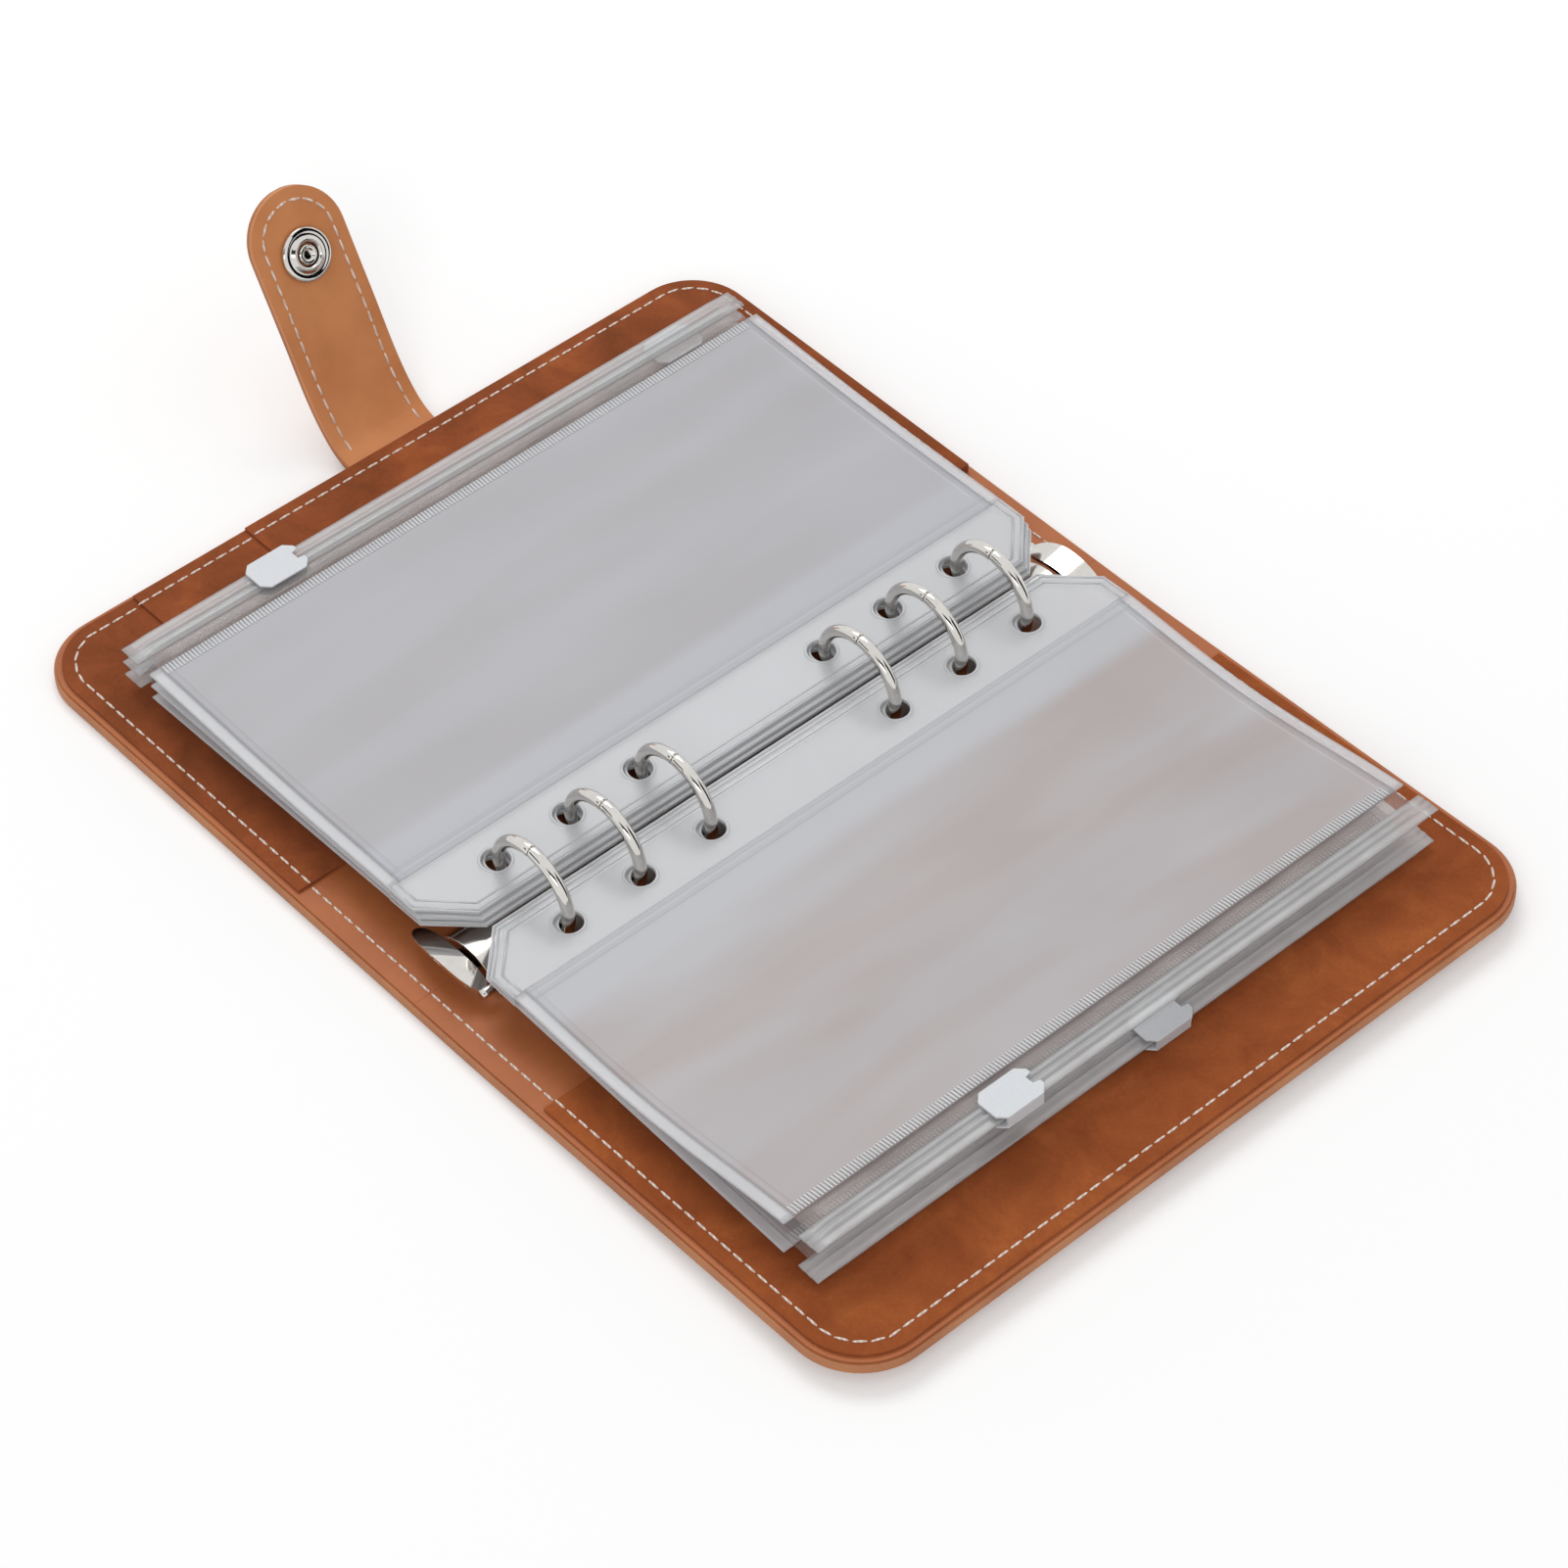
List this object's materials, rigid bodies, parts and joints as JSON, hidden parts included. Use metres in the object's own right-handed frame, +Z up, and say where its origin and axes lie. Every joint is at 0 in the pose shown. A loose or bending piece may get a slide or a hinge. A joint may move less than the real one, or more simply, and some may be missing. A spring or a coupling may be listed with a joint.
{
  "type": "cash envelope wallet",
  "caption": "Open six-ring cash envelope wallet: folding covers with stepped card pockets, frosted zip envelopes on rings and a snap strap.",
  "frame": {"origin": "middle of the spine's underside, on the table", "axes": "+X to the right cover's outer edge, +Y along the spine to its far end, +Z up from the table"},
  "size_m": [0.2994, 0.1914, 0.0534],
  "materials": {
    "outer_leather": "smooth grained, semi-matte",
    "lining_leather": "smooth, semi-matte",
    "suede": "brushed suede, matte, mottled",
    "board": "raw grey board",
    "nickel": "polished nickel plate",
    "frosted_film": "frosted, translucent",
    "clear_rail": "clear, glossy",
    "white_plastic": "satin"
  },
  "bodies": {
    "spine": {"spine_skin": "outer_leather", "spine_board": "board", "spine_lining": "lining_leather", "ring_cover_plate": "nickel", "plate_rivet_1": "nickel", "plate_rivet_2": "nickel"},
    "left_cover": {"left_cover_skin": "outer_leather", "left_cover_board": "board", "left_cover_lining": "lining_leather", "left_pocket_panel": "suede", "left_card_pocket_1": "suede", "left_card_pocket_2": "suede"},
    "right_cover": {"right_cover_skin": "outer_leather", "right_cover_board": "board", "right_cover_lining": "lining_leather", "right_pocket_panel": "suede", "snap_stud": "nickel", "snap_stud_rivet": "nickel"},
    "strap": {"strap_lining": "lining_leather", "strap_skin": "outer_leather", "snap_socket": "nickel", "snap_cap": "nickel"},
    "left_rings": {"left_hinge_plate": "nickel", "left_ring_1": "nickel", "left_ring_2": "nickel", "left_ring_3": "nickel", "left_ring_4": "nickel", "left_ring_5": "nickel", "left_ring_6": "nickel"},
    "right_rings": {"right_hinge_plate": "nickel", "right_ring_1": "nickel", "right_ring_2": "nickel", "right_ring_3": "nickel", "right_ring_4": "nickel", "right_ring_5": "nickel", "right_ring_6": "nickel"},
    "near_lever": {"near_lever": "nickel"},
    "far_lever": {"far_lever": "nickel"},
    "left_envelopes": {"left_envelope_1": "frosted_film", "left_envelope_1_zip": "clear_rail", "left_envelope_2": "frosted_film", "left_envelope_2_zip": "clear_rail", "left_envelope_3": "frosted_film", "left_envelope_3_zip": "clear_rail"},
    "right_envelopes": {"right_envelope_1": "frosted_film", "right_envelope_1_zip": "clear_rail", "right_envelope_2": "frosted_film", "right_envelope_2_zip": "clear_rail"},
    "left_envelope_1_slider": {"left_envelope_1_slider": "white_plastic"},
    "left_envelope_2_slider": {"left_envelope_2_slider": "white_plastic"},
    "left_envelope_3_slider": {"left_envelope_3_slider": "white_plastic"},
    "right_envelope_1_slider": {"right_envelope_1_slider": "white_plastic"},
    "right_envelope_2_slider": {"right_envelope_2_slider": "white_plastic"}
  },
  "joints": [
    {"name": "left_cover_fold", "type": "hinge", "parent": "spine", "child": "left_cover", "pos_m": [-0.02, 0, 0.0029], "axis": [0, 1, 0], "range_deg": [0, 90]},
    {"name": "right_cover_fold", "type": "hinge", "parent": "spine", "child": "right_cover", "pos_m": [0.02, 0, 0.0029], "axis": [0, -1, 0], "range_deg": [0, 88.4]},
    {"name": "left_envelopes_turn", "type": "hinge", "parent": "spine", "child": "left_envelopes", "pos_m": [0, 0, 0.0138], "axis": [0, 1, 0], "range_deg": [0, 87.3]},
    {"name": "right_envelopes_turn", "type": "hinge", "parent": "spine", "child": "right_envelopes", "pos_m": [0, 0, 0.0138], "axis": [0, -1, 0], "range_deg": [0, 85.75]},
    {"name": "ring_opening", "type": "hinge", "parent": "spine", "child": "left_rings", "pos_m": [-0.0083, 0, 0.00355], "axis": [0, -1, 0], "range_deg": [0, 9], "stiffness_Nm_per_rad": 1},
    {"name": "right_ring_opening", "type": "hinge", "parent": "spine", "child": "right_rings", "pos_m": [0.0083, 0, 0.00355], "axis": [0, 1, 0], "range_deg": [0, 9]},
    {"name": "near_lever_press", "type": "hinge", "parent": "spine", "child": "near_lever", "pos_m": [0, -0.0805, 0.005], "axis": [1, 0, 0], "range_deg": [0, 18]},
    {"name": "far_lever_press", "type": "hinge", "parent": "spine", "child": "far_lever", "pos_m": [0, 0.0805, 0.005], "axis": [-1, 0, 0], "range_deg": [0, 18]},
    {"name": "strap_fold", "type": "hinge", "parent": "left_cover", "child": "strap", "pos_m": [-0.1316, 0.0054, 0.0018], "axis": [0, -1, 0], "range_deg": [-75, 26], "stiffness_Nm_per_rad": 0.05},
    {"name": "left_envelope_1_zip_run", "type": "slide", "parent": "left_envelopes", "child": "left_envelope_1_slider", "axis": [0, 1, 0], "range_m": [-0.031, 0.123]},
    {"name": "left_envelope_2_zip_run", "type": "slide", "parent": "left_envelopes", "child": "left_envelope_2_slider", "axis": [0, 1, 0], "range_m": [-0.143, 0.011]},
    {"name": "left_envelope_3_zip_run", "type": "slide", "parent": "left_envelopes", "child": "left_envelope_3_slider", "axis": [0, 1, 0], "range_m": [-0.129, 0.025]},
    {"name": "right_envelope_1_zip_run", "type": "slide", "parent": "right_envelopes", "child": "right_envelope_1_slider", "axis": [0, 1, 0], "range_m": [-0.045, 0.109]},
    {"name": "right_envelope_2_zip_run", "type": "slide", "parent": "right_envelopes", "child": "right_envelope_2_slider", "axis": [0, 1, 0], "range_m": [-0.086, 0.068]}
  ],
  "couplings": [
    {"joint": "left_envelopes_turn", "follows": "left_cover_fold", "ratio": 0.97},
    {"joint": "right_envelopes_turn", "follows": "right_cover_fold", "ratio": 0.97},
    {"joint": "right_ring_opening", "follows": "ring_opening", "ratio": 1},
    {"joint": "near_lever_press", "follows": "ring_opening", "ratio": 2},
    {"joint": "far_lever_press", "follows": "ring_opening", "ratio": 2}
  ]
}
